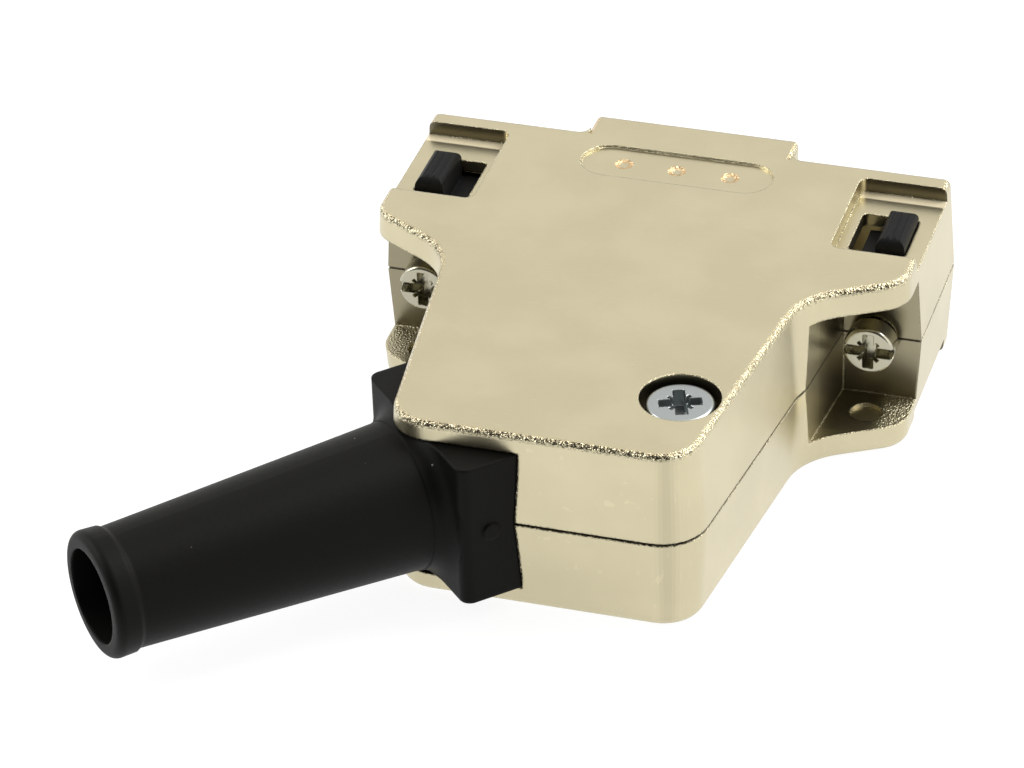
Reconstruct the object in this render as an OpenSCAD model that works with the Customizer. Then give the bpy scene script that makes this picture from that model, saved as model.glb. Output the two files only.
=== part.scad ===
/* [Shells] */
// Width across the ears at the parting plane
hood_w = 40.1; // [39.9:0.1:49]
// Thickness over both shell halves
hood_t = 14.1; // [14:0.1:18]
// Length from the connector face to the rear wall
hood_l = 39.5; // [38:0.5:50]
// Depth of the ears behind the connector face
ear_d = 10.75; // [10.5:0.25:13]
// Body width where it leaves the ears
body_w_front = 28.7; // [28.3:0.1:30]
// Body width at the rear wall
body_w_rear = 21.7; // [20:0.1:26]
// Distance behind the connector face at which the ear corners start
ear_corner_y = 12.6; // [12:0.1:14]
// Radius of the outer ear corners
ear_corner_r = 2.95; // [2:0.05:4]
// Distance behind the connector face of the centre of the hollow waist curve
waist_y = 21; // [20.5:0.5:26]
// Radius of the hollow waist curve
waist_r = 4.8; // [4:0.1:5.5]
// Radius of the rear body corners
body_corner_r = 3.3; // [2.5:0.1:4]
// Rounding of the top and bottom edges
edge_r = 0.5; // [0.3:0.05:0.8]
// Lean of the cast walls from the parting plane to the rounding
draft_in = 0.4; // [0.1:0.05:0.6]
// Small chamfer along the parting line
parting_chamfer = 0.13; // [0.05:0.01:0.25]
// Thickness of the side and rear walls
wall_t = 1.5; // [1.2:0.1:2]
// Thickness of the top and bottom plates
plate_t = 1.45; // [1.2:0.05:2]
// Thickness of the lips that overhang the waist niches
lip_t = 2.05; // [1.6:0.05:2.5]

/* [Connector end] */
// Width of the seat for the connector flange
seat_w = 39.16; // [39:0.01:39.3]
// Height of the seat for the connector flange
seat_h = 12.6; // [12.5:0.05:12.7]
// Corner radius of the seat
seat_r = 2.4; // [1.5:0.1:3]
// Depth of the seat
seat_d = 0.8; // [0.6:0.05:0.9]
// Width of the opening for the rear body of the connector
opening_w = 25.4; // [25.2:0.1:25.8]
// Width of the tongues that overlap the connector flange
tongue_w = 15.5; // [12:0.5:18]
// Length of the tongues in front of the connector face
tongue_l = 2.5; // [1.5:0.1:3.5]
// Thickness of the tongues
tongue_t = 1.65; // [1.2:0.05:2]
// Fillet at the root of the tongues
tongue_fillet = 0.8; // [0.4:0.1:1.2]
// Rounding of the tongue edges
tongue_edge = 0.45; // [0.2:0.05:0.6]

/* [Marking field] */
// Length of the sunken field between the ears
field_l = 14.4; // [10:0.1:18]
// Width of the sunken field
field_w = 4.2; // [3:0.1:5]
// Depth of the sunken field
field_d = 0.2; // [0.1:0.05:0.4]
// Distance of the field centre behind the connector face
field_y = 3.3; // [3:0.1:5]
// Spacing of the three dimples in the field
dimple_pitch = 4; // [3:0.1:5]
// Radius of a dimple
dimple_r = 0.68; // [0.4:0.02:0.9]
// Depth of a dimple
dimple_d = 0.16; // [0.1:0.02:0.3]

/* [Jackscrews] */
// Distance between the two jackscrews
screw_pitch = 33.3; // [33.2:0.1:33.4]
// Outer diameter of the thread
thread_d = 2.84; // [2.6:0.02:3]
// Diameter of the plain collar inside the front ear wall
collar_d = 2.7; // [2.5:0.02:2.8]
// Diameter of the plain shank between head and thread
shank_d = 2.2; // [2:0.05:2.3]
// Diameter of the screw head
head_d = 3.72; // [3.4:0.02:4.2]
// Height of the screw head
head_h = 1.6; // [1.2:0.1:2]
// Space left between the head and the ear
head_gap = 0.65; // [0.3:0.05:1.2]
// Length of thread in front of the connector face
tip_l = 5.2; // [4:0.1:7]
// Diametral clearance of the screw holes in the ears
screw_clear = 0.36; // [0.2:0.02:0.5]
// Width of the driver slot
slot_w = 0.7; // [0.5:0.05:0.9]
// Span of the cross recess
cross_span = 2.6; // [2:0.1:3]

/* [Slides] */
// Depth of the stepped recess in the ear faces
recess_d = 1.1; // [0.8:0.05:1.3]
// Distance of the recess inner wall from the middle
recess_x = 13.3; // [13:0.1:14]
// Distance of the recess front wall behind the connector face
recess_y = 1.2; // [1:0.1:2]
// Length of the recess
recess_l = 9.7; // [9:0.1:11]
// Corner radius of the recess
recess_r = 0.7; // [0.4:0.1:1]
// Distance of the window inner edge from the middle
window_x = 14.2; // [14:0.1:14.5]
// Width of the window
window_w = 4.2; // [4:0.1:4.5]
// Distance of the window front edge behind the connector face
window_y = 4.2; // [4:0.1:4.5]
// Length of the window
window_l = 5; // [4.5:0.1:5.2]
// Width of the slide lug
lug_w = 2.15; // [1.8:0.05:2.4]
// Rounding of the lug crown
lug_r = 0.75; // [0.4:0.05:0.9]
// How far the lug stops below the outer face of the shell
lug_below = 0.1; // [0:0.05:0.5]
// Clearance of the lug in its window and of the slide in its chamber
slide_clear = 0.2; // [0.15:0.01:0.25]
// Thickness of the slide plates
slide_t = 1.5; // [1.2:0.1:1.8]
// Thickness of the slide web beside the screw
web_t = 0.55; // [0.45:0.05:0.6]
// Thickness of the keyhole fork
fork_t = 1.4; // [1:0.1:2]
// Thickness of the ear wall behind the slide chamber
ear_wall = 1.15; // [1:0.05:1.5]
// Thickness of the front wall behind the seat
front_wall = 2.2; // [1.5:0.1:2.3]
// Thickness of the recess floor over the slide chamber
floor_t = 1; // [0.8:0.05:1.2]

/* [Cable exit] */
// Angle of the cable exit to the long axis
exit_angle = 45; // [42:1:48]
// Distance of the boot face inside the theoretical body corner
exit_depth = 2.63; // [2.4:0.05:3]
// Sideways shift of the exit from the body corner
exit_shift = 0.45; // [0:0.05:0.6]
// Width of the boot block
block_w = 13.8; // [13:0.1:14]
// Height of the boot block
block_h = 11; // [10:0.1:11]
// Depth of the boot block outside the retaining ribs
block_d = 4.3; // [4.2:0.1:4.4]
// Depth of the groove that the ribs enter
groove_d = 1.7; // [1.6:0.1:2]
// How far the ribs enter the groove
rib_h = 1; // [0.6:0.1:1.2]
// Thickness of the inner boot flange
flange_t = 1.2; // [1:0.1:1.6]
// Clearance of the rubber boot in the shells
boot_clear = 0.1; // [0.05:0.01:0.15]
// Length of the sleeve
sleeve_l = 24.3; // [18:0.1:30]
// Sleeve radius at the block
sleeve_r_root = 5.38; // [5:0.02:5.4]
// Sleeve radius behind the rim
sleeve_r_tip = 4.2; // [4:0.05:5]
// Radius of the rim
rim_r = 4.5; // [4.2:0.05:5.2]
// Length of the rim
rim_l = 1.7; // [1:0.1:3]
// Radius of the cable bore
cable_r = 3.37; // [2.5:0.01:3.6]

/* [Cable clamp] */
// Distance of the clamp inside the boot face
clamp_x = 10.6; // [10:0.1:11]
// Distance of the clamp screws from the cable axis
clamp_y = 6.1; // [6:0.1:6.5]
// Width of the strap along the cable
strap_w = 3.6; // [3:0.1:4]
// Thickness of the strap
strap_t = 1.1; // [0.9:0.1:1.3]
// Radius of the strap arch inside
strap_r = 3.1; // [2.5:0.1:3.2]
// Height of the strap feet below the parting plane
strap_drop = 1.2; // [0.8:0.1:1.6]
// Diameter of the clamp screws
clamp_screw_d = 1.9; // [1.8:0.1:2]
// Head diameter of the clamp screws
clamp_head_d = 3.5; // [3.2:0.1:3.6]

/* [Housing screw] */
// Distance of the housing screw from the middle
fix_x = 8.06; // [7.8:0.02:8.1]
// Distance of the housing screw behind the connector face
fix_y = 31.9; // [31:0.1:32.5]
// Diameter of the housing screw
fix_d = 2.44; // [2:0.02:2.6]
// Head diameter of the housing screw
fix_head_d = 4.8; // [4.4:0.1:5]
// Head height of the housing screw
fix_head_h = 1.6; // [1.2:0.1:1.8]
// Radius of the counterbore
bore_r = 2.84; // [2.6:0.02:2.9]
// How far the head lies below the face
fix_below = 0.4; // [0.2:0.05:0.6]
// Clearance of screws in their holes
hole_clear = 0.1; // [0.05:0.01:0.2]

/* [Hidden] */
$fn = 64;
eps = 0.05;
half_t = hood_t / 2;
cavity_h = half_t - plate_t;
niche_h = half_t - lip_t;
floor_z = half_t - recess_d;
chamber_h = floor_z - floor_t;
screw_x = screw_pitch / 2;
hole_r = (thread_d + screw_clear) / 2;
chamber_x = window_x + window_w + 0.3;
chamber_front = seat_d + front_wall;
chamber_rear = ear_d - ear_wall;
slide_end = window_x + window_w - slide_clear / 2;
stroke = window_w - lug_w - slide_clear;
post_r = 1.6;
pin_r = 0.8;
pin_l = 1.4;
pin_x = 10.8;
pin_y = 17.5;
column_r = 3.3;
clamp_post_r = 1.9;
ejector_r = 1.15;
ejector_y = 13.3;
metal = [0.80, 0.77, 0.68];
rubber = [0.16, 0.16, 0.15];
plastic = [0.20, 0.20, 0.21];
zinc = [0.78, 0.80, 0.82];

// The side line of the body leans in by this angle.
lean = atan((body_w_front - body_w_rear) / 2 / (hood_l - ear_d));
side_n = [cos(lean), -sin(lean)];
function side_x(y) = body_w_front / 2 + (y + ear_d) * tan(lean);

// Centres of the three arcs on each side of the outline: ear corner, waist and rear corner.
ear_c = [hood_w / 2 - ear_corner_r, -ear_corner_y];
waist_foot = -waist_y + waist_r * sin(lean);
waist_c = [side_x(waist_foot), waist_foot] + waist_r * side_n;
rear_foot = -hood_l + body_corner_r * (1 - sin(lean));
rear_c = [side_x(rear_foot), rear_foot] - body_corner_r * side_n;

// Direction of the common tangent between the ear corner and the waist arc.
to_waist = waist_c - ear_c;
tangent_a = atan2(to_waist[1], to_waist[0]) + acos((ear_corner_r + waist_r) / norm(to_waist));

function arc(c, r, a0, a1, n) = [for (i = [0:n]) let (a = a0 + (a1 - a0) * i / n) c + r * [cos(a), sin(a)]];
function mirrored(pts) = [for (i = [len(pts) - 1:-1:0]) [-pts[i][0], pts[i][1]]];

// Plan outline of a shell half, drawn in by d. The connector face stays flat.
function side_points(d) = concat([[hood_w / 2 - d, 0]], arc(ear_c, ear_corner_r - d, 0, tangent_a, 12),
    arc(waist_c, waist_r + d, tangent_a + 180, 180 - lean, 12), arc(rear_c, body_corner_r - d, -lean, -90, 16));
function outline(d) = concat(side_points(d), mirrored(side_points(d)));

// Plan outline of the tapered body alone, drawn in by d, open to the connector face.
function body_side(d) = concat([[side_x(1) - d / cos(lean), 1]], arc(rear_c, body_corner_r - d, -lean, -90, 16));
function body_outline(d) = concat(body_side(d), mirrored(body_side(d)));

// Height and inset of each ring of the skin: parting chamfer, drafted wall and rounded edge.
rings = concat([[0, parting_chamfer], [parting_chamfer, 0]],
    [for (a = [0:22.5:90]) [half_t - edge_r * (1 - sin(a)), draft_in + edge_r * (1 - cos(a))]]);

// The flat ends of the skin are strips between each point and its mirror image.
module skin() {
    n = len(outline(0));
    last = (len(rings) - 1) * n;
    polyhedron(
        points = [for (r = rings) for (p = outline(r[1])) [p[0], p[1], r[0]]],
        faces = concat(
            [for (j = [0:n / 2 - 2]) [n - 1 - j, n - 2 - j, j + 1, j]],
            [for (i = [0:len(rings) - 2]) for (j = [0:n - 1])
                [i * n + j, i * n + (j + 1) % n, (i + 1) * n + (j + 1) % n, (i + 1) * n + j]],
            [for (j = [0:n / 2 - 2]) [last + j, last + j + 1, last + n - 2 - j, last + n - 1 - j]]));
}

module both_sides() {
    children();
    mirror([1, 0, 0]) children();
}

// Rectangle from the origin with corners rounded by r, made of squares and circles.
module rounded(w, h, r) {
    translate([r, 0]) square([w - 2 * r, h]);
    translate([0, r]) square([w, h - 2 * r]);
    for (x = [r, w - r]) for (y = [r, h - r]) translate([x, y]) circle(r);
}

module stadium(l, w) {
    square([l - w, w], center = true);
    for (s = [-1, 1]) translate([s * (l - w) / 2, 0]) circle(w / 2);
}

// Local frame of the cable exit: X runs inwards along the cable, Y sideways.
module at_exit() {
    translate([-body_w_rear / 2, -hood_l, 0]) rotate([0, 0, exit_angle])
        translate([exit_depth, exit_shift, 0]) children();
}

module along_y(y0, y1) {
    translate([0, y0, 0]) rotate([-90, 0, 0]) linear_extrude(y1 - y0) children();
}

module along_x(x0, x1) {
    translate([x0, 0, 0]) rotate([90, 0, 90]) linear_extrude(x1 - x0) children();
}

module hollow() {
    translate([0, 0, -1]) linear_extrude(cavity_h + 1) intersection() {
        polygon(body_outline(wall_t));
        translate([-opening_w / 2, -hood_l]) square([opening_w, hood_l + 1]);
    }
    both_sides() translate([opening_w / 2 - 1, -chamber_rear, -1])
        cube([chamber_x - opening_w / 2 + 1, chamber_rear - chamber_front, chamber_h + 1]);
}

module tongue() {
    side = tongue_w / 2;
    intersection() {
        translate([-side, -tongue_l, 0]) linear_extrude(half_t) rounded(tongue_w, 2 * tongue_l, tongue_edge);
        along_y(-eps, tongue_l + 1) translate([-side, -half_t]) rounded(tongue_w, 2 * tongue_t, tongue_edge);
        translate([-side, -eps, half_t - tongue_t]) cube([tongue_w, tongue_l + 1, tongue_t]);
    }
    both_sides() translate([side, 0, half_t - tongue_t]) linear_extrude(tongue_t) difference() {
        translate([-eps, -eps]) square([tongue_fillet + eps, tongue_fillet + eps]);
        translate([tongue_fillet, tongue_fillet]) circle(tongue_fillet);
    }
}

module niche() {
    rear = waist_y + 2;
    translate([0, 0, -1]) linear_extrude(niche_h + 1) polygon([[side_x(-ear_d), -ear_d], [hood_w, -ear_d],
        [hood_w, -rear], [side_x(-rear) + 0.35, -rear]]);
    translate([screw_x, -ejector_y, 0]) cylinder(r = ejector_r, h = niche_h + 0.25);
}

module openings() {
    along_y(-seat_d, eps) translate([-seat_w / 2, -seat_h / 2]) rounded(seat_w, seat_h, seat_r);
    both_sides() {
        translate([recess_x, -recess_y - recess_l, floor_z]) linear_extrude(recess_d + 1)
            rounded(hood_w, recess_l, recess_r);
        translate([window_x, -window_y - window_l, chamber_h - eps]) linear_extrude(floor_t + 1)
            rounded(window_w, window_l, 0.3);
        niche();
        translate([screw_x, 0, 0]) along_y(-ear_d - 1, 1) circle(hole_r);
    }
    at_exit() {
        translate([-8, -block_w / 2 - boot_clear, -1]) cube([8 + block_d + boot_clear, block_w + 2 * boot_clear, cavity_h + 1]);
        translate([0, rib_h - block_w / 2, -1]) cube([clamp_x, block_w - 2 * rib_h, cavity_h + 1]);
    }
}

module marking_field() {
    ball_r = (dimple_r * dimple_r + dimple_d * dimple_d) / 2 / dimple_d;
    translate([0, -field_y, half_t - field_d]) linear_extrude(1) stadium(field_l, field_w);
    for (i = [-1:1]) translate([i * dimple_pitch, -field_y, half_t - field_d - dimple_d + ball_r]) sphere(ball_r);
}

// One cast half above the parting plane. The first child is what stands inside it, the second what is drilled.
module shell_half() {
    difference() {
        union() {
            difference() {
                skin();
                hollow();
            }
            tongue();
            children(0);
        }
        openings();
        children(1);
    }
}

module upper_shell() {
    seat_z = half_t - fix_below - fix_head_h;
    color(metal) shell_half() {
        union() {
            translate([fix_x, -fix_y, 0]) cylinder(r = column_r, h = cavity_h + eps);
            both_sides() translate([pin_x, -pin_y, 0]) cylinder(r = post_r, h = cavity_h + eps);
        }
        union() {
            translate([fix_x, -fix_y, -1]) cylinder(d = fix_d + 2 * hole_clear, h = half_t);
            translate([fix_x, -fix_y, seat_z]) cylinder(r = bore_r, h = half_t);
            both_sides() translate([pin_x, -pin_y, -1]) cylinder(r = pin_r + hole_clear / 2, h = 1 + pin_l + 0.3);
            marking_field();
        }
    }
}

module lower_shell() {
    color(metal) {
        mirror([0, 0, 1]) shell_half() {
            union() {
                translate([fix_x, -fix_y, 0]) cylinder(r = column_r, h = cavity_h + eps);
                both_sides() translate([pin_x, -pin_y, 0]) cylinder(r = post_r, h = cavity_h + eps);
                at_exit() for (s = [-1, 1]) translate([clamp_x, s * clamp_y, strap_drop])
                    cylinder(r = clamp_post_r, h = cavity_h - strap_drop + eps);
                at_exit() difference() {
                    translate([clamp_x - strap_w / 2, -clamp_y, strap_drop])
                        cube([strap_w, 2 * clamp_y, cavity_h - strap_drop + eps]);
                    along_x(clamp_x - strap_w, clamp_x + strap_w) circle(strap_r);
                }
            }
            union() {
                translate([fix_x, -fix_y, -1]) cylinder(d = fix_d + hole_clear, h = 1 + cavity_h);
                at_exit() for (s = [-1, 1]) translate([clamp_x, s * clamp_y, 0])
                    cylinder(d = clamp_screw_d + hole_clear, h = cavity_h);
            }
        }
        both_sides() translate([pin_x, -pin_y, -eps]) cylinder(r = pin_r, h = pin_l + eps);
    }
}

// Cross recess of the given span, arm width and depth, sunk from z = 0, with a pointed bottom.
module cross_recess(span, arm, depth) {
    for (a = [0, 90]) rotate([0, 0, a]) translate([-span / 2, -arm / 2, -depth]) cube([span, arm, depth + 1]);
    translate([0, 0, -depth]) cylinder(d = arm * 1.7, h = depth + 1);
}

module housing_screw() {
    top = half_t - fix_below;
    under = top - fix_head_h;
    bottom = -cavity_h + 0.6;
    round_r = 0.45;
    r = fix_head_d / 2;
    color(zinc) translate([fix_x, -fix_y, 0]) difference() {
        rotate_extrude() polygon(concat([[0, bottom], [fix_d / 2 - 0.3, bottom], [fix_d / 2, bottom + 0.3],
            [fix_d / 2, under], [r, under]], arc([r - round_r, top - round_r], round_r, 0, 90, 6), [[0, top]]));
        translate([0, 0, top]) rotate([0, 0, 20]) cross_recess(fix_head_d * 0.6, 0.75, 1.1);
    }
}

// Jackscrew on the Y axis, head to the rear: slotted head with cross recess, plain shank and threaded end.
module jackscrew() {
    r = head_d / 2;
    rear = ear_d + head_gap + head_h;
    shank_rear = chamber_rear;
    shank_front = chamber_front + 0.4;
    thread_rear = seat_d - 0.2;
    rotate([90, 0, 0]) difference() {
        rotate_extrude() polygon(concat([[0, -tip_l], [thread_d / 2 - 0.5, -tip_l], [thread_d / 2, 0.5 - tip_l],
            [thread_d / 2, thread_rear], [collar_d / 2, thread_rear], [collar_d / 2, shank_front - 0.3],
            [shank_d / 2, shank_front], [shank_d / 2, shank_rear], [thread_d / 2, shank_rear],
            [thread_d / 2, rear - head_h], [r, rear - head_h]],
            arc([r - 0.25, rear - 0.25], 0.25, 0, 90, 4), [[0, rear]]));
        translate([-r - 1, -slot_w / 2, rear - 0.75]) cube([2 * r + 2, slot_w, 2]);
        translate([0, 0, rear]) cross_recess(cross_span, 0.7, 1.1);
    }
}

module jackscrew_left() {
    color(metal) translate([-screw_x, 0, 0]) jackscrew();
}

module jackscrew_right() {
    color(metal) translate([screw_x, 0, 0]) jackscrew();
}

// Keyhole slide of the right ear: a C of two plates and a web, a fork round the screw shank, and a lug
// with a ridged crown through each window.
module slide_half() {
    h = chamber_h - slide_clear;
    inner = screw_x - shank_d / 2 - slide_clear - web_t;
    front = -window_y - slide_clear;
    rear = -window_y - window_l + slide_clear;
    crown = half_t - lug_below;
    translate([inner, rear, h - slide_t]) cube([slide_end - inner, front - rear, slide_t]);
    translate([inner, rear, 0]) cube([web_t, front - rear, h]);
    difference() {
        intersection() {
            along_y(rear, front) translate([slide_end - lug_w, -crown]) rounded(lug_w, 2 * crown, lug_r);
            along_x(0, hood_w) translate([rear, -crown]) rounded(front - rear, 2 * crown, lug_r);
            translate([0, -hood_l, h - slide_t]) cube([hood_w, hood_l, hood_t]);
        }
        for (i = [-1:1]) translate([slide_end - lug_w / 2 + i * 0.5, 0, crown + 0.05]) along_y(rear - 1, front + 1)
            circle(0.14);
    }
}

module fork() {
    inner = screw_x - shank_d / 2 - slide_clear - web_t;
    middle = -window_y - window_l / 2;
    h = chamber_h - slide_clear;
    mouth_x = screw_x + stroke - hole_r;
    difference() {
        translate([inner, middle - fork_t / 2, -h + eps]) cube([slide_end - inner, fork_t, 2 * h - 2 * eps]);
        translate([screw_x, 0, 0]) along_y(middle - fork_t, middle + fork_t) circle(shank_d / 2 + slide_clear);
        translate([screw_x, middle - fork_t, -shank_d / 2 - slide_clear]) cube([hood_w, 2 * fork_t, shank_d + 2 * slide_clear]);
        translate([mouth_x, middle - fork_t, -hole_r]) cube([hood_w, 2 * fork_t, 2 * hole_r]);
    }
}

module slide_latch() {
    slide_half();
    mirror([0, 0, 1]) slide_half();
    fork();
}

module slide_left() {
    color(plastic) mirror([1, 0, 0]) slide_latch();
}

module slide_right() {
    color(plastic) slide_latch();
}

// Rubber boot: block with a groove for the ribs, inner flange and tapered sleeve with a rim.
module cable_boot() {
    fillet = 1.3;
    taper = (sleeve_r_root - sleeve_r_tip) / sleeve_l;
    rim_round = 0.6;
    corner = 0.8;
    inner = block_d + groove_d;
    color(rubber) at_exit() difference() {
        union() {
            translate([0, -block_w / 2, -block_h / 2]) linear_extrude(block_h) {
                translate([corner, 0]) square([block_d - corner, block_w]);
                translate([0, corner]) square([block_d, block_w - 2 * corner]);
                for (y = [corner, block_w - corner]) translate([corner, y]) circle(corner);
            }
            translate([block_d - eps, rib_h + boot_clear - block_w / 2, -block_h / 2])
                cube([groove_d + 2 * eps, block_w - 2 * rib_h - 2 * boot_clear, block_h]);
            translate([inner, boot_clear - block_w / 2, -block_h / 2])
                cube([flange_t, block_w - 2 * boot_clear, block_h]);
            rotate([0, -90, 0]) rotate_extrude() polygon(concat([[0, -1], [sleeve_r_root, -1],
                [sleeve_r_root, 0], [sleeve_r_tip + taper * rim_l, sleeve_l - rim_l - 0.3],
                [rim_r - 0.05, sleeve_l - rim_l]],
                arc([rim_r - rim_round, sleeve_l - rim_round], rim_round, 0, 90, 6), [[0, sleeve_l]]));
            // Blend between sleeve and block, trimmed to the block face
            intersection() {
                rotate([0, -90, 0]) rotate_extrude() polygon(concat([[0, -1], [sleeve_r_root + fillet, -1]],
                    arc([sleeve_r_root + fillet, fillet], fillet, -90, -180, 8), [[0, fillet]]));
                translate([-fillet - 1, -block_w / 2, -block_h / 2]) cube([fillet + 2, block_w, block_h]);
            }
            translate([2.2, -block_w / 2, 0]) rotate([90, 0, 0]) cylinder(r = 0.65, h = 0.15);
        }
        rotate([0, -90, 0]) translate([0, 0, -inner - flange_t - 1])
            cylinder(r = cable_r, h = inner + flange_t + sleeve_l + 2);
    }
}

module cable_clamp() {
    foot_t = strap_t + 0.3;
    color(zinc) at_exit() difference() {
        union() {
            intersection() {
                along_x(clamp_x - strap_w / 2, clamp_x + strap_w / 2) circle(strap_r + strap_t);
                translate([0, -hood_w, -strap_drop]) cube([hood_l, 2 * hood_w, hood_t]);
            }
            for (s = [-1, 1]) translate([clamp_x, s * clamp_y, -strap_drop])
                cylinder(r = clamp_post_r, h = foot_t);
            translate([clamp_x - strap_w / 2, -clamp_y, -strap_drop]) cube([strap_w, 2 * clamp_y, foot_t]);
        }
        along_x(clamp_x - strap_w, clamp_x + strap_w) circle(strap_r);
        for (s = [-1, 1]) translate([clamp_x, s * clamp_y, -strap_drop - 1])
            cylinder(d = clamp_screw_d + 2 * hole_clear, h = foot_t + 2);
    }
}

module clamp_screw(s) {
    under = strap_t + 0.3 - strap_drop;
    r = clamp_head_d / 2;
    head = 1.2;
    bottom = 0.5 - cavity_h;
    color(zinc) at_exit() translate([clamp_x, s * clamp_y, 0]) difference() {
        rotate_extrude() polygon(concat([[0, bottom], [clamp_screw_d / 2, bottom], [clamp_screw_d / 2, under],
            [r, under]], arc([r - 0.4, under + head - 0.4], 0.4, 0, 90, 4), [[0, under + head]]));
        translate([0, 0, under + head]) cross_recess(2, 0.5, 0.8);
    }
}

module clamp_screw_front() {
    clamp_screw(1);
}

module clamp_screw_rear() {
    clamp_screw(-1);
}

upper_shell();
lower_shell();
housing_screw();
cable_boot();
jackscrew_left();
jackscrew_right();
slide_left();
slide_right();
cable_clamp();
clamp_screw_front();
clamp_screw_rear();
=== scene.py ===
"""Finishes of a metal d-sub hood: cast shells, screws, slides, rubber boot and a plain studio."""

import math

import bpy
import numpy as np
from mathutils import Matrix, Vector


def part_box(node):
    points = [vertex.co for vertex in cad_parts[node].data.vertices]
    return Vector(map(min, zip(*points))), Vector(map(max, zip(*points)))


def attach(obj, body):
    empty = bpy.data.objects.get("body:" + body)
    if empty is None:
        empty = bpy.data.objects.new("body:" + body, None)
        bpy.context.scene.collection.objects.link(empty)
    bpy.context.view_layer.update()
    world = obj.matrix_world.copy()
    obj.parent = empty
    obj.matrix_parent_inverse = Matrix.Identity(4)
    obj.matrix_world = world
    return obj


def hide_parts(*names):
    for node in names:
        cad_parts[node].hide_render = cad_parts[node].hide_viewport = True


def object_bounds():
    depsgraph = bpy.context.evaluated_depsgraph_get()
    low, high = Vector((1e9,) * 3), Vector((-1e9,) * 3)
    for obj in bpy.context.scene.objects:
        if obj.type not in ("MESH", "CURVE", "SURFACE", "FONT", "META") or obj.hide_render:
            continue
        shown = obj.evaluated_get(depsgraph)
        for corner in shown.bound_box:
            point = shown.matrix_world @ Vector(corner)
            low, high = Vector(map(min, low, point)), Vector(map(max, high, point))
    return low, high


bl_info = {
    "name": "D-sub hood finishes",
    "version": (1, 0, 0),
    "blender": (4, 5, 0),
    "location": "View3D > Sidebar > Hood",
    "description": "Cast shells, screws, slides and rubber boot of a d-sub hood",
    "category": "Object",
}

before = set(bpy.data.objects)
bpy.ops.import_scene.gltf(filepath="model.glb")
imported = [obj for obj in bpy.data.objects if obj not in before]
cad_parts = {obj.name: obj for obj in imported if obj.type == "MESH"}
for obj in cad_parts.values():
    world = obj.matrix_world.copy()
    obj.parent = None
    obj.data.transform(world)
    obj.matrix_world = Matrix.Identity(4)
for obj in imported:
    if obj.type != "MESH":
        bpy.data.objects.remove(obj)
CAD_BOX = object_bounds()
MM = 0.001
HOOD = "hood"
SHELLS = ("upper_shell", "lower_shell")
JACKSCREWS = ("jackscrew_left", "jackscrew_right")
SLIDES = ("slide_left", "slide_right")
CLAMP_PIECES = ("cable_clamp", "clamp_screw_front", "clamp_screw_rear")
FIX_LOW, FIX_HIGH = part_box("housing_screw")
FIX_X, FIX_Y = ((FIX_LOW[k] + FIX_HIGH[k]) / 2 for k in (0, 1))

# Places on the shells, each from and to in millimetres: side from the middle plane, back from the
# connector face, top from the parting plane.
NICHE_SIDE, NICHE_BACK, NICHE_TOP = (12.2, 12.6), (10.65, 16.0), (5.0, 5.04)
DEEP_BACK = (11.5, 19.0)
PATCH_SIDE = (16.8, 18.0)
CHAMBER_SIDE, CHAMBER_BACK, CHAMBER_TOP = (14.0, 18.75), (3.35, 9.7), (4.9, 4.95)
EAR_WALL_SIDE, EAR_WALL_BACK = (13.2, 13.3), (1.1, 1.3)
FOOT_SIDE, FOOT_BACK, FOOT_TOP = (13.3, 13.5), (1.3, 2.15), (6.1, 6.2)
SEAM_TOP = (0.07, 0.12)
CORNER_BACK = (30.0, 33.0)
BORE_R, BORE_SOFT, BORE_TOP = 2.85 * MM, 0.02 * MM, (6.9, 7.0)

# Where the upward share of a normal counts as lying flat.
FLAT = (0.9, 0.95)

# Colour of the painted warm highlight on the upper cast edges.
WARM_HIGHLIGHT = (0.95, 0.66, 0.36, 1.0)
# Colour of the painted highlight at the foot of the recess wall.
FOOT_HIGHLIGHT = (0.95, 0.84, 0.58, 1.0)
# Dark colour of the painted shade and painted dark reflections, and of the seam.
SHADE_AND_SEAM_DARK = (0.02, 0.017, 0.01, 1.0)
DUST = (0.22, 0.21, 0.18, 1.0)
BEVEL_SAMPLES = 6

THREAD_R = 1.42 * MM
AROUND, INWARD = 192, 36
PROFILE_STEP = 0.06 * MM
SHARP_ANGLE = math.radians(32)

CAMERA_PLACE = (0.079727, -0.287483, 0.186765)
CAMERA_TURN = (56.09257, 1.71887, 16.95955)
SENSOR_WIDTH = 36.0
LIT_POINT = (0, -0.02, 0)


# ---------------------------------------------------------------- shader maths


class Value:
    """A number socket of a shader. Using it in an expression adds Math nodes."""

    def __init__(self, shader, socket):
        self.shader, self.socket = shader, socket

    def maths(self, operation, *values, clamp=False):
        node = self.shader.node("ShaderNodeMath", {"operation": operation, "use_clamp": clamp}, *values)
        return Value(self.shader, node.outputs[0])

    def __add__(self, other):
        return self.maths("ADD", self, other)

    def __radd__(self, other):
        return self.maths("ADD", other, self)

    def __sub__(self, other):
        return self.maths("SUBTRACT", self, other)

    def __rsub__(self, other):
        return self.maths("SUBTRACT", other, self)

    def __mul__(self, other):
        return self.maths("MULTIPLY", self, other)

    def __rmul__(self, other):
        return self.maths("MULTIPLY", other, self)

    def __abs__(self):
        return self.maths("ABSOLUTE", self)

    def clamp(self):
        return self.maths("ADD", self, 0.0, clamp=True)

    def step(self, low, high):
        """Smooth step: 0 at low, 1 at high."""
        node = self.shader.node(
            "ShaderNodeMapRange", {"interpolation_type": "SMOOTHSTEP"}, self, low, high, 0.0, 1.0)
        return Value(self.shader, node.outputs[0])

    def rise(self, span):
        """Smooth step between two distances in millimetres."""
        return self.step(span[0] * MM, span[1] * MM)

    def inside(self, span, soft):
        """1 between two distances in millimetres, 0 outside, with soft ends."""
        return band(self, span[0] * MM, span[1] * MM, soft * MM)


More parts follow.
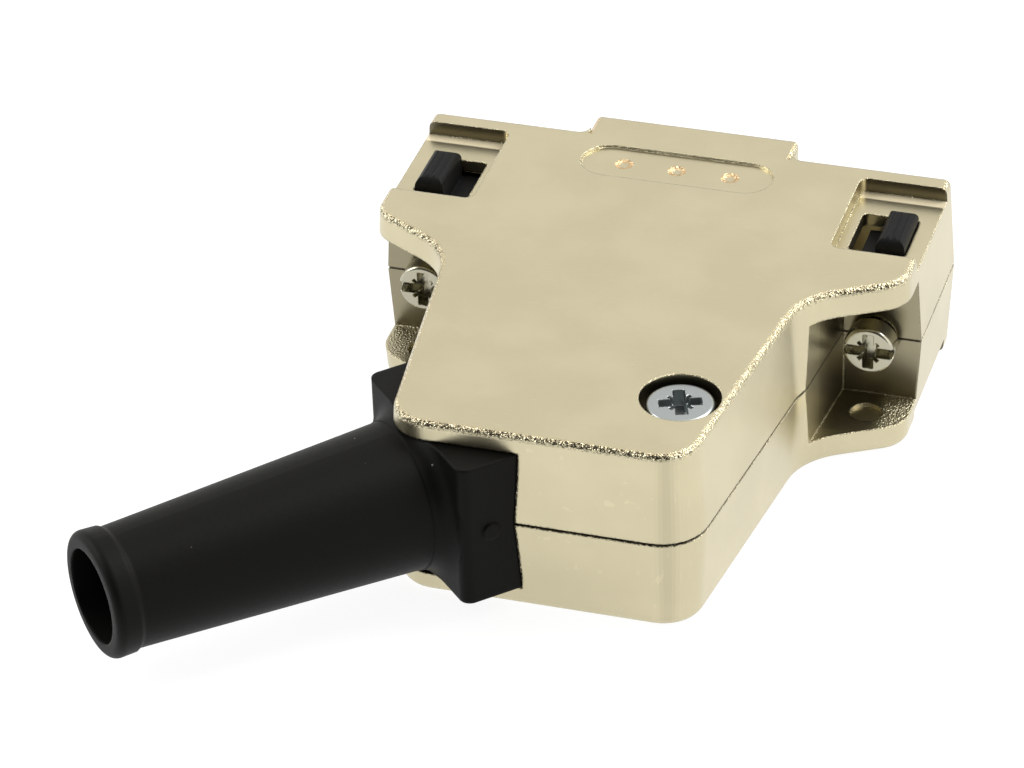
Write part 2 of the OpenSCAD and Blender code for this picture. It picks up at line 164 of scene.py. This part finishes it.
class Shader:
    """A node tree that is filled through one method, for a material or a world."""

    def __init__(self, owner):
        owner.use_nodes = True
        self.tree = owner.node_tree
        self.tree.nodes.clear()

    def node(self, kind, settings=None, *inputs, **named):
        """Adds a node: settings first, then values or links by order or by socket name."""
        node = self.tree.nodes.new(kind)
        for key, value in (settings or {}).items():
            setattr(node, key, value)
        pairs = [(node.inputs[k], v) for k, v in enumerate(inputs) if v is not None]
        pairs += [(node.inputs[key.replace("_", " ")], v) for key, v in named.items()]
        for socket, value in pairs:
            if isinstance(value, Value):
                value = value.socket
            if isinstance(value, bpy.types.NodeSocket):
                self.tree.links.new(value, socket)
            else:
                socket.default_value = value
        return node

    def place(self):
        """Object coordinates, in metres."""
        return self.node("ShaderNodeTexCoord").outputs["Object"]

    def spread(self, where, scale):
        """The coordinates times a scale for each axis."""
        return self.node("ShaderNodeVectorMath", {"operation": "MULTIPLY"}, where, scale).outputs[0]

    def noise(self, where, scale, detail):
        """Soft noise from 0 to 1."""
        node = self.node("ShaderNodeTexNoise", None, Vector=where, Scale=scale, Detail=detail,
                         Roughness=0.5)
        return Value(self, node.outputs[0])

    def cells(self, where, scale):
        """Distance to the nearest of many scattered points."""
        node = self.node("ShaderNodeTexVoronoi", None, Vector=where, Scale=scale)
        return Value(self, node.outputs["Distance"])

    def parts(self, vector):
        """The three numbers of a vector."""
        node = self.node("ShaderNodeSeparateXYZ", None, vector)
        return [Value(self, s) for s in node.outputs]

    def mix(self, amount, low, high):
        """Mixes two colours, whose sockets follow the five that serve numbers and vectors."""
        unused = [None] * 5
        return self.node("ShaderNodeMix", {"data_type": "RGBA"}, amount, *unused, low, high).outputs[2]

    def bump(self, height, depth, normal):
        """Raises the surface by the height value times a depth in metres."""
        node = self.node("ShaderNodeBump", None, Strength=1.0, Distance=depth, Height=height,
                         Normal=normal)
        return node.outputs[0]

    def rounded(self, radius):
        """Normal of the surface with its edges rounded."""
        return self.node("ShaderNodeBevel", {"samples": BEVEL_SAMPLES}, Radius=radius).outputs[0]

    def surface(self, **sockets):
        """Ends the tree with a Principled surface."""
        shade = self.node("ShaderNodeBsdfPrincipled", None, **sockets)
        self.node("ShaderNodeOutputMaterial", None, Surface=shade.outputs[0])


def material(name):
    """A new material and its empty node tree."""
    made = bpy.data.materials.new(name)
    return made, Shader(made)


def rgb(colour, share):
    """The colour times a share, with full alpha."""
    return (colour[0] * share, colour[1] * share, colour[2] * share, 1.0)


def edge_wear(sh, round_normal):
    """How far the rounded normal leaves the flat one: 0 on faces, rising on edges."""
    flat = sh.node("ShaderNodeNewGeometry").outputs["True Normal"]
    node = sh.node("ShaderNodeVectorMath", {"operation": "DOT_PRODUCT"}, round_normal, flat)
    return 1.0 - Value(sh, node.outputs["Value"])


def band(value, low, high, soft):
    """1 between low and high, 0 outside, with soft ends."""
    return value.step(low - soft, low + soft) * (1.0 - value.step(high - soft, high + soft))


def cast_nickel(colour, edge_radius):
    """Satin nickel on a casting: fine grain on the faces, coarse grain on the edges with a painted warm
    highlight and a grainy painted dark reflection.

    The niches behind the ears, the chambers under the windows, the inner ear walls and the bore of the
    housing screw are darkened as painted shade, the rear corner gets darker bands of painted reflection,
    the seam is darkened as a joint, and the niche floor and the foot of the recess get painted
    highlights.
    """
    made, sh = material("cast_nickel")
    where = sh.place()
    x, y, z = sh.parts(where)
    side, back, height = abs(x), 0.0 - y, abs(z)
    normal = sh.rounded(edge_radius)
    nx, ny, nz = sh.parts(sh.node("ShaderNodeNewGeometry").outputs["Normal"])
    tilt = abs(nz)
    edge = edge_wear(sh, normal).step(0.004, 0.05)
    rounding = band(tilt, 0.2, 0.975, 0.02)
    rough_edge = (edge + rounding).clamp()

    grain = sh.noise(where, 7000.0, 1.0)
    satin = sh.noise(where, 2600.0, 3.0)
    scratch = sh.noise(sh.spread(where, (900.0, 14000.0, 900.0)), 1.0, 2.0).step(0.66, 0.72)
    smudge = sh.noise(where, 160.0, 3.0)

    # Painted shade: the niches behind the ears, darkest in their deep part.
    niche = side.rise(NICHE_SIDE) * back.inside(NICHE_BACK, 0.05) * (1.0 - height.rise(NICHE_TOP))
    deep = niche * (1.0 - back.rise(DEEP_BACK))
    # Painted shade: the chambers under the windows.
    chamber = (side.inside(CHAMBER_SIDE, 0.05) * back.inside(CHAMBER_BACK, 0.05)
               * (1.0 - height.rise(CHAMBER_TOP)))
    # Painted shade: the inner ear walls that face backward, toward the camera, where they reflect the
    # dark room.
    facing_back = 0.0 - ny
    ear_wall = side.rise(EAR_WALL_SIDE) * back.inside(EAR_WALL_BACK, 0.03) * facing_back.step(0.3, 0.6)
    # Painted highlight: a bright band on the floor at the foot of the ear wall.
    foot = (side.rise(FOOT_SIDE) * back.inside(FOOT_BACK, 0.12) * nz.step(0.85, 0.95)
            * (1.0 - height.rise(FOOT_TOP)))
    seam = (1.0 - height.rise(SEAM_TOP)) * (1.0 - nz.step(*FLAT))
    # Painted reflection: darker vertical bands on the rounded rear corner, set by the direction of the
    # wall.
    corner = band(nx, 0.2, 0.5, 0.15) * (1.0 - tilt.step(0.1, 0.3)) * back.rise(CORNER_BACK)
    # Painted shade: the bore of the housing screw.
    from_x, from_y = x - FIX_X, y - FIX_Y
    off_axis = from_x * from_x + from_y * from_y
    bore = (1.0 - off_axis.step(BORE_R ** 2, (BORE_R + BORE_SOFT) ** 2)) * (1.0 - z.rise(BORE_TOP))
    # Painted highlight: a bright reflection on the flat floor at the outer end of the niche.
    patch = deep * side.rise(PATCH_SIDE) * nz.step(*FLAT)
    # Grain on the edges, darkened as a painted dark reflection, most where the edges face backward
    # toward the camera.
    dark_grain_and_reflection = (rough_edge * sh.noise(where, 5200.0, 1.0).step(0.5, 0.57)
                  * (0.25 + 0.75 * facing_back.step(0.15, 0.6)) * (1.0 - niche) * nz.step(0.0, 0.1))
    # Painted highlight: a warm bright line along the upper rounding of the edges.
    warm_edge_highlight = rough_edge * nz.step(0.8, 0.93) * (1.0 - nz.step(0.97, 0.985))

    # Painted shade of the hollows and painted highlight of the niche floor, with the darker seam and the
    # painted dark reflections of corner and edges.
    shade = 1.0 - 0.5 * deep + 0.45 * patch
    for mask, loss in ((chamber, 0.9), (ear_wall, 0.75), (seam, 0.85), (corner, 0.16), (bore, 0.75),
                       (dark_grain_and_reflection, 0.85)):
        shade = shade * (1.0 - loss * mask)
    tone = sh.mix(smudge.step(0.35, 0.7), rgb(colour, 0.96), rgb(colour, 1.03))
    tone = sh.mix(scratch * 0.35, tone, rgb(colour, 1.2))
    tone = sh.mix(warm_edge_highlight * 0.8, tone, WARM_HIGHLIGHT)
    tone = sh.mix(foot, tone, FOOT_HIGHLIGHT)
    tone = sh.mix(1.0 - shade, tone, SHADE_AND_SEAM_DARK)
    relief = grain * (rough_edge + patch).clamp() + satin * 0.05
    # The painted highlight at the foot of the recess is less metallic, so it shows bright.
    sh.surface(Base_Color=tone, Metallic=1.0 - 0.75 * foot, Roughness=0.31 - 0.17 * rough_edge,
               Normal=sh.bump(relief, 0.00013, normal))
    return made


def plain_metal(name, colour, roughness, radius):
    """Bright metal with a fine grain and edges rounded by the radius."""
    made, sh = material(name)
    normal = sh.rounded(radius)
    grain = sh.noise(sh.place(), 5000.0, 2.0)
    tone = sh.mix(grain, rgb(colour, 0.94), rgb(colour, 1.04))
    sh.surface(Base_Color=tone, Metallic=1.0, Roughness=roughness + 0.06 * grain,
               Normal=sh.bump(grain, 0.000004, normal))
    return made


def soft_black(name, colour, roughness, radius, scale, depth, dust=0.0):
    """Black rubber or plastic with a fine grain and a few specks of dust."""
    made, sh = material(name)
    where = sh.place()
    normal = sh.rounded(radius)
    grain = sh.noise(where, scale, 3.0)
    where_dusty = sh.noise(where, 350.0, 0.0).step(0.55, 0.6)
    speck = (1.0 - sh.cells(where, 700.0).step(0.03, 0.07)) * where_dusty * dust
    tone = sh.mix(grain, rgb(colour, 0.8), rgb(colour, 1.2))
    tone = sh.mix(speck, tone, DUST)
    sh.surface(Base_Color=tone, Roughness=roughness + 0.1 * grain, Specular_IOR_Level=0.11,
               Normal=sh.bump(grain, depth, normal))
    return made


# ---------------------------------------------------------------- screws


def cross_depth(x, y, span, arm, depth, turn=0.0):
    """Depth of a cross recess at (x, y): the deepest of two arms, a round hub and thin notches.

    Each part is 1 inside, 0 outside, and falls in a straight line over a narrow wall. The notches
    stand between the arms and are not as deep.
    """
    c, s = math.cos(turn), math.sin(turn)
    soft = 0.08 * arm

    def within(distance, limit):
        return np.clip((limit - distance) / soft + 0.5, 0, 1)

    def bar(u, v, length, width):
        return within(np.abs(v), width / 2) * within(np.abs(u), length / 2)

    u, v = c * x + s * y, c * y - s * x
    p, q = (u + v) * math.sqrt(0.5), (v - u) * math.sqrt(0.5)
    arms = np.maximum(bar(u, v, span, arm), bar(v, u, span, arm))
    hub = within(np.hypot(x, y), 0.85 * arm)
    notches = np.maximum(bar(p, q, 0.74 * span, 0.3 * arm), bar(q, p, 0.74 * span, 0.3 * arm))
    return depth * np.maximum(np.maximum(arms, hub), 0.45 * notches)


def turned(name, profile, depth_at, thread, place):
    """Surface of revolution about Z with a recessed top.

    profile lists (radius, height) from the foot to the edge of the top, where a flat disc closes
    it. Between the heights thread[0] and thread[1] a helix of pitch thread[2] and depth thread[3]
    is cut: the radius falls with the fraction of (height / pitch + angle / turn), up and down. No
    point lies above the top less depth_at(x, y). place holds the rotation and the shift from local
    to frame coordinates.
    """
    profile = np.array(profile)
    spans = []
    for start, end in zip(profile, profile[1:]):
        steps = max(2, int(math.hypot(*(end - start)) / PROFILE_STEP))
        spans.append(start + (end - start) * np.arange(steps)[:, None] / steps)
    top_r, top = profile[-1]
    shrink = 1 - np.arange(INWARD) / INWARD
    spans.append(np.stack([top_r * shrink, np.full(INWARD, top)], axis=1))
    rows = np.concatenate(spans)
    radius, height = (np.repeat(column[:, None], AROUND, axis=1) for column in rows.T)
    angle = np.arange(AROUND)[None, :] * 2 * math.pi / AROUND
    low, high, pitch, cut = thread
    turn = (height / pitch + angle / (2 * math.pi)) % 1.0
    inside = np.clip((height - low) / pitch, 0, 1) * np.clip((high - height) / pitch, 0, 1)
    radius = radius - cut * inside * np.abs(2 * turn - 1)
    x, y = radius * np.cos(angle), radius * np.sin(angle)
    height = np.minimum(height, top - depth_at(x, y))
    points = np.stack([x, y, height], axis=-1).reshape(-1, 3)
    centre_depth = float(depth_at(np.zeros(1), np.zeros(1))[0])
    ends = np.array([[0.0, 0.0, rows[0][1]], [0.0, 0.0, top - centre_depth]])
    points = np.concatenate([points, ends]) @ np.array(place[0]) + np.array(place[1])

    grid = np.arange(len(rows) * AROUND).reshape(len(rows), AROUND)
    beside = np.roll(grid, -1, axis=1)
    sides = np.stack([grid[:-1], beside[:-1], beside[1:], grid[1:]], axis=-1).reshape(-1, 4)
    foot_centre, top_centre = (np.full(AROUND, grid.size + k) for k in (0, 1))
    foot = np.stack([foot_centre, beside[0], grid[0]], axis=-1)
    middle = np.stack([top_centre, grid[-1], beside[-1]], axis=-1)
    faces = sides.tolist() + foot.tolist() + middle.tolist()
    mesh = bpy.data.meshes.new(name)
    mesh.from_pydata(points.tolist(), [], faces)
    mesh.polygons.foreach_set("use_smooth", [True] * len(mesh.polygons))
    mesh.set_sharp_from_angle(angle=SHARP_ANGLE)
    made = bpy.data.objects.new(name, mesh)
    bpy.context.scene.collection.objects.link(made)
    return made


def arc_profile(radius, top, rounding):
    """Rounded edge of a head, from its side to its top."""
    return [(radius - rounding * (1 - math.cos(a)), top - rounding * (1 - math.sin(a)))
            for a in (math.radians(15 * k) for k in range(7))]


def put_material(node, made):
    """Gives every slot of a CAD node the material."""
    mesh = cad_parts[node].data
    for k in range(len(mesh.materials)):
        mesh.materials[k] = made


# ---------------------------------------------------------------- studio


def world_light(settings):
    """White to the camera; to the metal, bright sides and a dark room behind the camera."""
    world = bpy.data.worlds.new("studio")
    bpy.context.scene.world = world
    sh = Shader(world)
    direction = sh.node("ShaderNodeTexCoord").outputs["Generated"]

    def toward(vector, low, high):
        """How far the direction points along the vector: 0 at the cosine low, 1 at high."""
        length = math.sqrt(sum(v * v for v in vector))
        node = sh.node("ShaderNodeVectorMath", {"operation": "DOT_PRODUCT"}, direction,
                       tuple(v / length for v in vector))
        return Value(sh, node.outputs["Value"]).step(low, high)

    dark = toward((0.0, -0.88, 0.42), 0.5, 0.8)
    right = toward((1.0, -0.1, 0.0), 0.45, 0.9)
    paths = sh.node("ShaderNodeLightPath")
    camera = Value(sh, paths.outputs["Is Camera Ray"])
    glossy = Value(sh, paths.outputs["Is Glossy Ray"])
    seen = (1.0 - dark * 0.95) * (1.0 + 0.62 * right)
    power = camera + (1.0 - camera) * (glossy * seen + (1.0 - glossy) * settings.fill)
    back = sh.node("ShaderNodeBackground", None, Color=(1.0, 0.985, 0.955, 1.0), Strength=power)
    sh.node("ShaderNodeOutputWorld", None, Surface=back.outputs[0])


def soft_box(name, place, size, power):
    """A rectangular lamp that faces the hood."""
    lamp = bpy.data.lights.new(name, "AREA")
    lamp.shape, lamp.size, lamp.size_y, lamp.energy = "RECTANGLE", size, size, power
    obj = bpy.data.objects.new(name, lamp)
    bpy.context.scene.collection.objects.link(obj)
    aim = (Vector(LIT_POINT) - Vector(place)).to_track_quat("-Z", "Y")
    obj.matrix_world = Matrix.Translation(place) @ aim.to_matrix().to_4x4()


class HoodStageSettings(bpy.types.PropertyGroup):
    """Camera and light of the studio."""

    lens: bpy.props.FloatProperty(name="Lens", description="Focal length", default=166.34, unit="CAMERA")
    fill: bpy.props.FloatProperty(name="Fill", description="Light of the surroundings", default=0.55,
                                  subtype="FACTOR")
    floor_size: bpy.props.FloatProperty(name="Floor", description="Width of the floor", default=3.0,
                                        unit="LENGTH")


class HOOD_OT_stage(bpy.types.Operator):
    """Adds the floor, the lights and the camera"""

    bl_idname = "hood.stage"
    bl_label = "Stage"

    def execute(self, context):
        settings = context.scene.hood_stage
        scene = context.scene
        scene.view_settings.view_transform = "Standard"
        world_light(settings)
        half = settings.floor_size / 2
        low = CAD_BOX[0][2]
        mesh = bpy.data.meshes.new("floor")
        corners = ((-half, -half), (half, -half), (half, half), (-half, half))
        mesh.from_pydata([(x, y, low) for x, y in corners], [], [(0, 1, 2, 3)])
        floor = bpy.data.objects.new("floor", mesh)
        scene.collection.objects.link(floor)
        made, sh = material("floor_white")
        paths = sh.node("ShaderNodeLightPath")
        seen = (Value(sh, paths.outputs["Is Camera Ray"]) + Value(sh, paths.outputs["Is Glossy Ray"])
                + Value(sh, paths.outputs["Is Transmission Ray"])).clamp()
        sh.surface(Base_Color=(0.25, 0.25, 0.25, 1.0), Roughness=1.0, Specular_IOR_Level=0.0,
                   Emission_Color=(1.0, 1.0, 1.0, 1.0), Emission_Strength=seen * 0.9)
        mesh.materials.append(made)

        soft_box("key_box", (0.35, 0.25, 0.55), 0.35, 3.2)
        soft_box("side_box", (-0.5, -0.1, 0.3), 0.3, 1.4)

        camera = bpy.data.cameras.new("camera")
        camera.lens, camera.sensor_width = settings.lens, SENSOR_WIDTH
        camera.clip_start, camera.clip_end = 0.01, 20.0
        obj = bpy.data.objects.new("camera", camera)
        scene.collection.objects.link(obj)
        obj.location = CAMERA_PLACE
        obj.rotation_euler = tuple(math.radians(a) for a in CAMERA_TURN)
        scene.camera = obj
        return {"FINISHED"}


# ---------------------------------------------------------------- finishes


class HoodMetalSettings(bpy.types.PropertyGroup):
    """Colours of the metal pieces."""

    nickel: bpy.props.FloatVectorProperty(name="Nickel", description="Colour of the cast shells",
                                          default=(0.625, 0.565, 0.385), subtype="COLOR")
    edge: bpy.props.FloatProperty(name="Edge", description="Radius of the small cast edges",
                                  default=0.2 * MM, unit="LENGTH")
    zinc: bpy.props.FloatVectorProperty(name="Zinc", description="Colour of the housing screw",
                                        default=(0.42, 0.45, 0.45), subtype="COLOR")
    bright: bpy.props.FloatVectorProperty(name="Jackscrew", description="Colour of the jackscrews",
                                          default=(0.46, 0.44, 0.34), subtype="COLOR")


class HoodSoftSettings(bpy.types.PropertyGroup):
    """Colours of the rubber and plastic pieces."""

    rubber: bpy.props.FloatVectorProperty(name="Rubber", description="Colour of the boot",
                                          default=(0.004, 0.004, 0.0031), subtype="COLOR")
    plastic: bpy.props.FloatVectorProperty(name="Plastic", description="Colour of the slides",
                                           default=(0.008, 0.008, 0.008), subtype="COLOR")


class HOOD_OT_shells(bpy.types.Operator):
    """Finishes the two cast shells"""

    bl_idname = "hood.shells"
    bl_label = "Shells"

    def execute(self, context):
        settings = context.scene.hood_metal
        made = cast_nickel(settings.nickel, settings.edge)
        for node in SHELLS:
            put_material(node, made)
        return {"FINISHED"}


def jackscrew(node):
    """Jackscrew on its own axis along Y, from the threaded end to the head.

    A turned profile: chamfered thread, collar, shank and a head whose edge is an arc. Its top is
    cut by a straight slot or by a cross recess, whichever is deeper.
    """
    low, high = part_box(node)
    head_r = (high[0] - low[0]) / 2
    top, tip = -low[1], -high[1]
    collar_r, shank_r, chamfer = 1.35 * MM, 1.1 * MM, 0.45 * MM
    thread_end, collar_start, collar_end = 0.55 * MM, 0.62 * MM, 3.1 * MM
    shank_start, shank_end, neck_start = 3.4 * MM, 9.6 * MM, 9.62 * MM
    under_head = top - 1.6 * MM
    profile = [(THREAD_R - chamfer, tip), (THREAD_R, tip + chamfer), (THREAD_R, thread_end),
               (collar_r, collar_start), (collar_r, collar_end), (shank_r, shank_start),
               (shank_r, shank_end), (THREAD_R, neck_start), (THREAD_R, under_head),
               (head_r, under_head + 0.02 * MM)]
    profile += arc_profile(head_r, top, 0.25 * MM)
    slot_depth, half_slot, slot_wall = 0.7 * MM, 0.35 * MM, 0.06 * MM

    def depth_at(x, y):
        slot = slot_depth * np.clip((half_slot - np.abs(y)) / slot_wall + 0.5, 0, 1)
        return np.maximum(slot, cross_depth(x, y, 2.7 * MM, 0.72 * MM, 1.15 * MM))

    middle = [(low[k] + high[k]) / 2 for k in range(3)]
    turn = [[1, 0, 0], [0, 0, 1], [0, -1, 0]]
    thread = (tip, 0.5 * MM, 0.635 * MM, 0.3 * MM)
    place = (turn, [middle[0], 0.0, middle[2]])
    return turned(node + "_piece", profile, depth_at, thread, place)


def housing_screw():
    """Housing screw on its own axis along Z.

    A turned profile: chamfered thread and a head whose edge is an arc, cut by a cross recess.
    """
    low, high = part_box("housing_screw")
    head_r, shank_r, chamfer = (high[0] - low[0]) / 2, 1.22 * MM, 0.3 * MM
    top, tip = high[2], low[2]
    under = top - 1.6 * MM
    profile = [(shank_r - chamfer, tip), (shank_r, tip + chamfer), (shank_r, under),
               (head_r, under + 0.02 * MM)]
    profile += arc_profile(head_r, top, 0.3 * MM)

    def depth_at(x, y):
        return cross_depth(x, y, 2.9 * MM, 0.78 * MM, 1.2 * MM, math.radians(20))

    thread = (tip, 0.0, 0.5 * MM, 0.2 * MM)
    place = (np.eye(3).tolist(), [FIX_X, FIX_Y, 0.0])
    return turned("housing_screw_piece", profile, depth_at, thread, place)


class HOOD_OT_screws(bpy.types.Operator):
    """Finishes the screws and the cable clamp"""

    bl_idname = "hood.screws"
    bl_label = "Screws"

    def execute(self, context):
        settings = context.scene.hood_metal
        zinc = plain_metal("bright_zinc", settings.zinc, 0.28, 0.0001)
        for node in CLAMP_PIECES:
            put_material(node, zinc)
        nickel = plain_metal("bright_nickel", settings.bright, 0.2, 0.0001)
        for node in JACKSCREWS:
            piece = jackscrew(node)
            piece.data.materials.append(nickel)
            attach(piece, node)
            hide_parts(node)
        piece = housing_screw()
        piece.data.materials.append(zinc)
        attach(piece, HOOD)
        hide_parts("housing_screw")
        return {"FINISHED"}


class HOOD_OT_slides(bpy.types.Operator):
    """Finishes the two slides"""

    bl_idname = "hood.slides"
    bl_label = "Slides"

    def execute(self, context):
        plastic = context.scene.hood_soft.plastic
        made = soft_black("slide_plastic", plastic, 0.4, 0.00012, 4000.0, 0.000004)
        for node in SLIDES:
            put_material(node, made)
        return {"FINISHED"}


class HOOD_OT_boot(bpy.types.Operator):
    """Finishes the rubber boot"""

    bl_idname = "hood.boot"
    bl_label = "Cable boot"

    def execute(self, context):
        rubber = context.scene.hood_soft.rubber
        made = soft_black("boot_rubber", rubber, 0.46, 0.0003, 2500.0, 0.00001, 1.0)
        put_material("cable_boot", made)
        return {"FINISHED"}


class HOOD_PT_panel(bpy.types.Panel):
    """Lists the settings and the pieces of the hood"""

    bl_label = "D-sub hood"
    bl_idname = "HOOD_PT_panel"
    bl_space_type = "VIEW_3D"
    bl_region_type = "UI"
    bl_category = "Hood"

    def draw(self, context):
        for settings in (context.scene.hood_metal, context.scene.hood_soft, context.scene.hood_stage):
            box = self.layout.box()
            for name in type(settings).__annotations__:
                box.prop(settings, name)
        for operator in OPERATORS:
            self.layout.operator(operator.bl_idname)


SETTINGS = {
    "hood_metal": HoodMetalSettings,
    "hood_soft": HoodSoftSettings,
    "hood_stage": HoodStageSettings,
}
OPERATORS = (HOOD_OT_stage, HOOD_OT_shells, HOOD_OT_screws, HOOD_OT_slides, HOOD_OT_boot)


def register():
    for cls in (*SETTINGS.values(), *OPERATORS, HOOD_PT_panel):
        bpy.utils.register_class(cls)
    for name, cls in SETTINGS.items():
        setattr(bpy.types.Scene, name, bpy.props.PointerProperty(type=cls))


def unregister():
    for name in SETTINGS:
        delattr(bpy.types.Scene, name)
    for cls in reversed((*SETTINGS.values(), *OPERATORS, HOOD_PT_panel)):
        bpy.utils.unregister_class(cls)


def main():
    register()
    bpy.ops.hood.stage()
    bpy.ops.hood.shells()
    bpy.ops.hood.screws()
    bpy.ops.hood.slides()
    bpy.ops.hood.boot()


if __name__ == "__main__":
    main()
